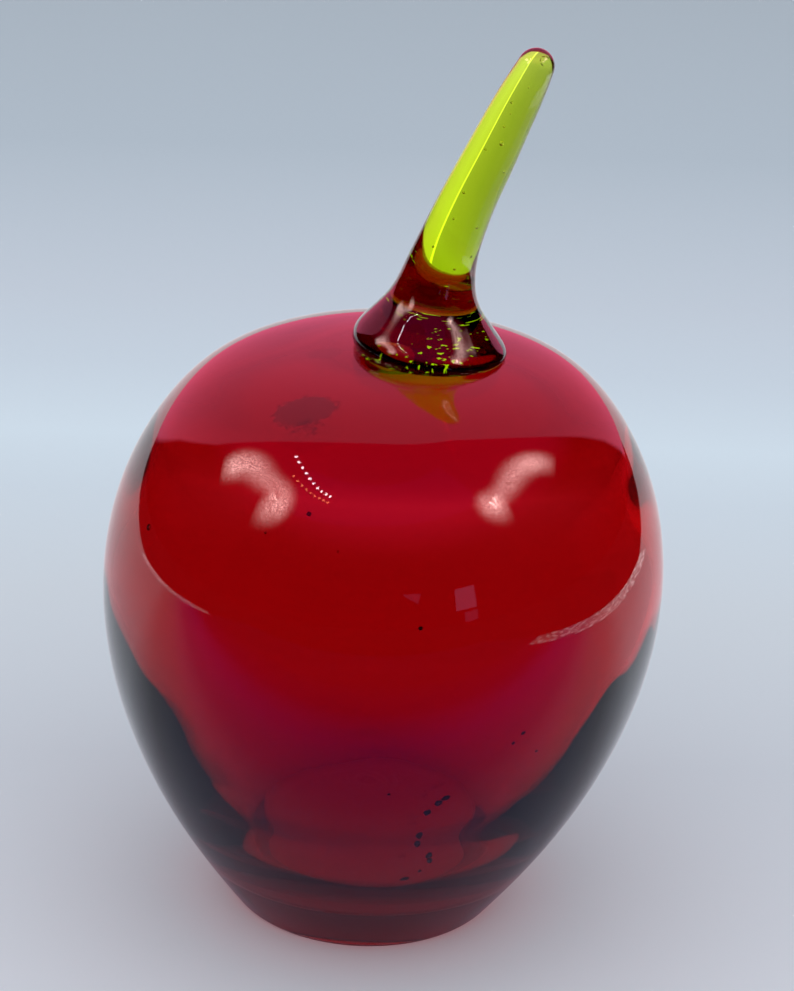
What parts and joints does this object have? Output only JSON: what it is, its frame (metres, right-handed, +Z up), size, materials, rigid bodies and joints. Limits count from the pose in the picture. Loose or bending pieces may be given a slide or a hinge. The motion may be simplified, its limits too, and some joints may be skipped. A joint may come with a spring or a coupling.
{
  "type": "art glass apple",
  "caption": "Hollow blown ruby glass apple with a thick lower wall, a flat base and a solid, leaning lime green glass stem fused on its crown.",
  "frame": {"origin": "middle of the ground flat base", "axes": "+Z up through the body to the stem; the stem leans towards +X; -Y faces the viewer of the picture"},
  "size_m": [0.1301, 0.13, 0.2075],
  "materials": {
    "ruby_glass": "clear selenium ruby glass, blown and fire polished, base ground flat",
    "lime_glass": "clear lime green glass, hot worked and fire polished, with small trapped bubbles"
  },
  "bodies": {
    "root": {"ruby_body": "ruby_glass", "green_stem": "lime_glass"}
  },
  "joints": []
}
